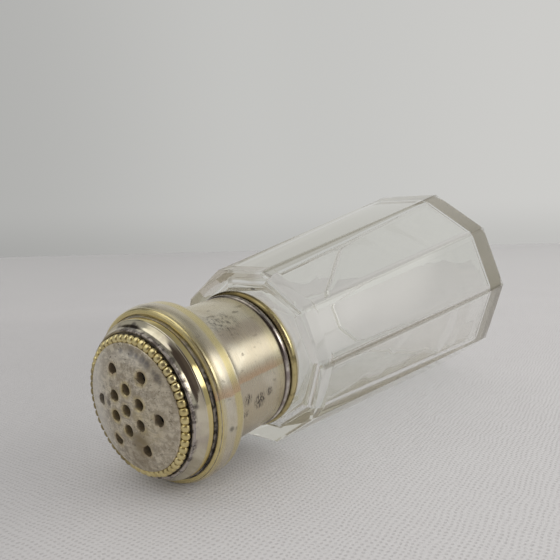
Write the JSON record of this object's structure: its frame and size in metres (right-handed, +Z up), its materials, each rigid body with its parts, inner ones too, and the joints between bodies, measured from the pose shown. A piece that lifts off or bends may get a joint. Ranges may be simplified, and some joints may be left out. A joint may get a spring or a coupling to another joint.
{
  "type": "crystal shaker",
  "caption": "Tapered ten-sided crystal sugar shaker, lying on its side, with a silvered screw cap, beaded ring and perforated domed plate.",
  "frame": {"origin": "on the ground under the middle of the lying shaker's box", "axes": "+Z up; the shaker lies on one facet as pictured, cap end towards -Y, foot towards +Y; the axis of symmetry is tilted 5.6 degrees, cap end lower"},
  "size_m": [0.0708, 0.145, 0.0671],
  "materials": {
    "crystal": "clear cut crystal, polished flat facets",
    "plaster": "off-white setting plaster, matte",
    "brass": "yellow brass with dark patina in the recesses",
    "leather": "plain brown washer leather",
    "silver_plate": "worn silver plate, satin, brass showing on the crests",
    "polished_plate": "polished silver plate, slightly tarnished",
    "dull_plate": "dull tarnished silver plate with yellow worn patches"
  },
  "bodies": {
    "bottle": {"glass_body": "crystal", "collar_cement": "plaster", "neck_collar": "brass"},
    "washer": {"seal_washer": "leather"},
    "cap": {"cap_thread_ring": "brass", "mouth_wire": "silver_plate", "cap_sleeve": "silver_plate", "top_moulding": "polished_plate", "bead_ring": "brass", "perforated_plate": "dull_plate"}
  },
  "joints": [
    {"name": "cap_rise", "type": "slide", "parent": "bottle", "child": "washer", "axis": [0, -0.9952, -0.0977], "range_m": [0, 0.0098]},
    {"name": "cap_turn", "type": "hinge", "parent": "washer", "child": "cap", "pos_m": [0, -0.0551, 0.02139], "axis": [0, -0.9952, -0.0977], "range_deg": [0, 1350]}
  ],
  "couplings": [
    {"joint": "cap_rise", "follows": "cap_turn", "m_per_rad": 0.0004138}
  ]
}
